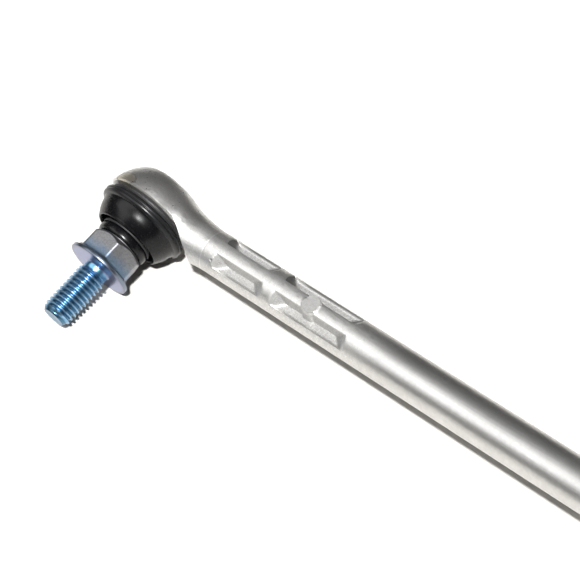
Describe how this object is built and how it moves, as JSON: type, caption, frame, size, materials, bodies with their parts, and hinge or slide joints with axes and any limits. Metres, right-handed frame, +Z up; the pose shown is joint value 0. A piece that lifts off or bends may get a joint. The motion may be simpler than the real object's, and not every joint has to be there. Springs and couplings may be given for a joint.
{
  "type": "stabiliser link",
  "caption": "Straight forged suspension link: pocketed aluminium rod with a ball joint at each end, hex-flanged threaded studs side by side, rubber dust boots.",
  "frame": {"origin": "centre of the whole link's bounding box, on the rod's mid-length plane", "axes": "+X along the rod from joint 1 to joint 2, both studs point to -Y at rest, +Z up"},
  "size_m": [0.3312, 0.0564, 0.0312],
  "materials": {
    "forged_aluminium": "forged and shot-blasted aluminium, satin with fine sparkle",
    "blue_zinc_steel": "blue passivated zinc plate, bright thread, satin hexagon",
    "boot_rubber": "black chloroprene rubber with a slight gloss",
    "bearing_polymer": "natural acetal",
    "ring_steel": "plain turned steel",
    "spring_steel": "black phosphated spring steel"
  },
  "bodies": {
    "link": {"link_body": "forged_aluminium", "bearing_shell_1": "bearing_polymer", "retaining_ring_1": "ring_steel", "bearing_shell_2": "bearing_polymer", "retaining_ring_2": "ring_steel"},
    "boot_1": {"dust_boot_1": "boot_rubber", "boot_clamp_ring_1": "spring_steel"},
    "boot_neck_1": {"boot_neck_ring_1": "spring_steel"},
    "stud_1": {"ball_stud_1": "blue_zinc_steel"},
    "boot_2": {"dust_boot_2": "boot_rubber", "boot_clamp_ring_2": "spring_steel"},
    "boot_neck_2": {"boot_neck_ring_2": "spring_steel"},
    "stud_2": {"ball_stud_2": "blue_zinc_steel"}
  },
  "joints": [
    {"name": "ball_1_swivel", "type": "hinge", "parent": "link", "child": "boot_1", "pos_m": [-0.15, 0.0176, 0], "axis": [0, -1, 0], "continuous": true},
    {"name": "ball_1_tilt", "type": "hinge", "parent": "boot_1", "child": "boot_neck_1", "pos_m": [-0.15, 0.0176, 0], "axis": [1, 0, 0], "range_deg": [-25, 25], "deforming": ["dust_boot_1"]},
    {"name": "ball_1_spin", "type": "hinge", "parent": "boot_neck_1", "child": "stud_1", "pos_m": [-0.15, 0.0176, 0], "axis": [0, -1, 0], "continuous": true},
    {"name": "ball_2_swivel", "type": "hinge", "parent": "link", "child": "boot_2", "pos_m": [0.15, 0.0176, 0], "axis": [0, -1, 0], "continuous": true},
    {"name": "ball_2_tilt", "type": "hinge", "parent": "boot_2", "child": "boot_neck_2", "pos_m": [0.15, 0.0176, 0], "axis": [1, 0, 0], "range_deg": [-25, 25], "deforming": ["dust_boot_2"]},
    {"name": "ball_2_spin", "type": "hinge", "parent": "boot_neck_2", "child": "stud_2", "pos_m": [0.15, 0.0176, 0], "axis": [0, -1, 0], "continuous": true}
  ]
}
